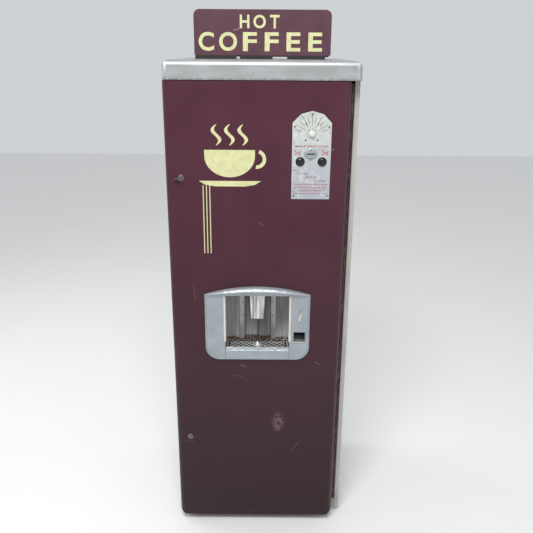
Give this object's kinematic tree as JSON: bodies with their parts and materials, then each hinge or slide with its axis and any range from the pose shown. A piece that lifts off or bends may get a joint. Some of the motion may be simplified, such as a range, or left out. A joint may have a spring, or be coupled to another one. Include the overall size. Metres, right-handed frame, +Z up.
{
  "type": "hot coffee vending machine",
  "caption": "Free-standing coin-operated hot coffee vending machine: tall cabinet with a full-height hinged door, cup station, selector plate, coin return and sign.",
  "frame": {"origin": "centre of the bounding box's base, on the floor", "axes": "+Z up, front faces -Y, +X to the viewer's right"},
  "size_m": [0.636, 0.588, 1.919],
  "materials": {
    "cabinet_paint": "satin, light warm grey",
    "door_paint": "semi-gloss maroon enamel, worn",
    "crown_metal": "satin, scuffed",
    "sign_face": "satin maroon",
    "dark_steel": "satin black",
    "hinge_steel": "satin maroon",
    "cast_metal": "hammered silver",
    "stainless": "brushed",
    "chrome": "polished, aged",
    "zinc": "zinc plated",
    "brass": "satin",
    "plate_enamel": "satin, printed",
    "ivory_plastic": "matte",
    "clear_plastic": "satin",
    "black_plastic": "matte",
    "black_gloss": "glossy"
  },
  "bodies": {
    "cabinet": {"side_panel_left": "cabinet_paint", "side_panel_right": "cabinet_paint", "back_panel": "cabinet_paint", "service_plate": "brass", "base_pan": "cabinet_paint", "levelling_foot_1": "zinc", "levelling_foot_2": "zinc", "levelling_foot_3": "zinc", "levelling_foot_4": "zinc", "crown_top": "crown_metal", "sign_panel": "sign_face", "sign_bracket": "dark_steel", "hinge_leaf_cabinet": "hinge_steel", "hinge_pin": "hinge_steel", "upper_shelf": "zinc", "turret_motor": "dark_steel", "cup_chute": "stainless", "water_tank": "stainless", "canister_shelf": "zinc", "canister_coffee": "clear_plastic", "canister_cream": "clear_plastic", "canister_sugar": "clear_plastic", "mixing_bowl": "ivory_plastic", "whipper_motor": "dark_steel", "control_box": "zinc"},
    "door": {"door_skin": "door_paint", "door_liner": "zinc", "hinge_leaf_door": "hinge_steel", "lock_housing_upper": "chrome", "lock_housing_lower": "chrome", "delivery_bezel": "cast_metal", "chamber_liner": "stainless", "nozzle_shroud": "cast_metal", "coin_return_cup": "stainless", "coin_mechanism": "zinc", "coin_chutes": "zinc", "selector_plate": "plate_enamel", "selector_switch": "black_plastic", "coin_entry": "cast_metal", "button_bracket": "zinc"},
    "upper_lock": {"lock_plug_upper": "chrome"},
    "lower_lock": {"lock_plug_lower": "chrome"},
    "tray": {"drip_tray": "stainless", "tray_apron": "cast_metal"},
    "grille": {"drip_grille": "stainless"},
    "return_lever": {"coin_return_lever": "chrome"},
    "return_rod": {"return_link_rod": "zinc"},
    "selector": {"selector_pointer": "ivory_plastic"},
    "left_button": {"push_button_left": "black_gloss"},
    "right_button": {"push_button_right": "black_gloss"},
    "cash_drawer": {"cash_box": "zinc"},
    "turret": {"cup_turret": "stainless"},
    "pinion": {"turret_pinion": "brass"},
    "coffee_auger": {"auger_coffee": "ivory_plastic"},
    "cream_auger": {"auger_cream": "ivory_plastic"},
    "sugar_auger": {"auger_sugar": "ivory_plastic"},
    "lid": {"canister_lid": "ivory_plastic"},
    "whipper": {"whipper_impeller": "ivory_plastic"},
    "bucket": {"waste_bucket": "ivory_plastic"},
    "bail": {"bucket_handle": "chrome"}
  },
  "joints": [
    {"name": "door_hinge", "type": "hinge", "parent": "cabinet", "child": "door", "pos_m": [0.2935, -0.2245, 0.025], "axis": [0, 0, 1], "range_deg": [0, 105]},
    {"name": "upper_lock_turn", "type": "hinge", "parent": "door", "child": "upper_lock", "pos_m": [-0.2665, -0.27, 1.389], "axis": [0, -1, 0], "range_deg": [0, 90]},
    {"name": "lower_lock_turn", "type": "hinge", "parent": "door", "child": "lower_lock", "pos_m": [-0.2665, -0.27, 0.3916], "axis": [0, -1, 0], "range_deg": [0, 90]},
    {"name": "tray_slide", "type": "slide", "parent": "door", "child": "tray", "axis": [0, -1, 0], "range_m": [0, 0.1]},
    {"name": "grille_lift", "type": "slide", "parent": "tray", "child": "grille", "axis": [0, 0, 1], "range_m": [0, 0.05]},
    {"name": "return_lever_turn", "type": "hinge", "parent": "door", "child": "return_lever", "pos_m": [0.14, -0.27, 0.897], "axis": [0, -1, 0], "range_deg": [0, 35]},
    {"name": "return_rod_slide", "type": "slide", "parent": "door", "child": "return_rod", "axis": [0, 0, 1], "range_m": [0, 0.0122], "stiffness_N_per_m": 120, "springref_m": -0.007},
    {"name": "selector_turn", "type": "hinge", "parent": "door", "child": "selector", "pos_m": [0.1626, -0.27, 1.535], "axis": [0, -1, 0], "range_deg": [-60, 60]},
    {"name": "left_button_press", "type": "slide", "parent": "door", "child": "left_button", "axis": [0, 1, 0], "range_m": [0, 0.006], "stiffness_N_per_m": 400, "springref_m": -0.002},
    {"name": "right_button_press", "type": "slide", "parent": "door", "child": "right_button", "axis": [0, 1, 0], "range_m": [0, 0.006], "stiffness_N_per_m": 400, "springref_m": -0.002},
    {"name": "cash_box_lift", "type": "slide", "parent": "door", "child": "cash_drawer", "axis": [0, 0, 1], "range_m": [0, 0.05]},
    {"name": "turret_spin", "type": "hinge", "parent": "cabinet", "child": "turret", "pos_m": [-0.13, 0.06, 1.32], "axis": [0, 0, 1], "continuous": true},
    {"name": "pinion_spin", "type": "hinge", "parent": "cabinet", "child": "pinion", "pos_m": [-0.13, 0.11, 1.32], "axis": [0, 0, 1], "continuous": true},
    {"name": "coffee_auger_spin", "type": "hinge", "parent": "cabinet", "child": "coffee_auger", "pos_m": [0.01, 0, 1.1348], "axis": [0, 1, 0], "continuous": true},
    {"name": "cream_auger_spin", "type": "hinge", "parent": "cabinet", "child": "cream_auger", "pos_m": [0.1, 0, 1.1348], "axis": [0, 1, 0], "continuous": true},
    {"name": "sugar_auger_spin", "type": "hinge", "parent": "cabinet", "child": "sugar_auger", "pos_m": [0.19, 0, 1.1348], "axis": [0, 1, 0], "continuous": true},
    {"name": "lid_lift", "type": "slide", "parent": "cabinet", "child": "lid", "axis": [0, 0, 1], "range_m": [0, 0.05]},
    {"name": "whipper_spin", "type": "hinge", "parent": "cabinet", "child": "whipper", "pos_m": [0.06, -0.032, 1.1], "axis": [0, 0, 1], "continuous": true},
    {"name": "bucket_lift", "type": "slide", "parent": "cabinet", "child": "bucket", "axis": [0, 0, 1], "range_m": [0, 0.05]},
    {"name": "bail_swing", "type": "hinge", "parent": "bucket", "child": "bail", "pos_m": [-0.0125, -0.085, 0.2988], "axis": [1, 0, 0], "range_deg": [0, 90]}
  ],
  "couplings": [
    {"joint": "pinion_spin", "follows": "turret_spin", "ratio": -4},
    {"joint": "return_lever_turn", "follows": "return_rod_slide", "rad_per_m": 50}
  ]
}
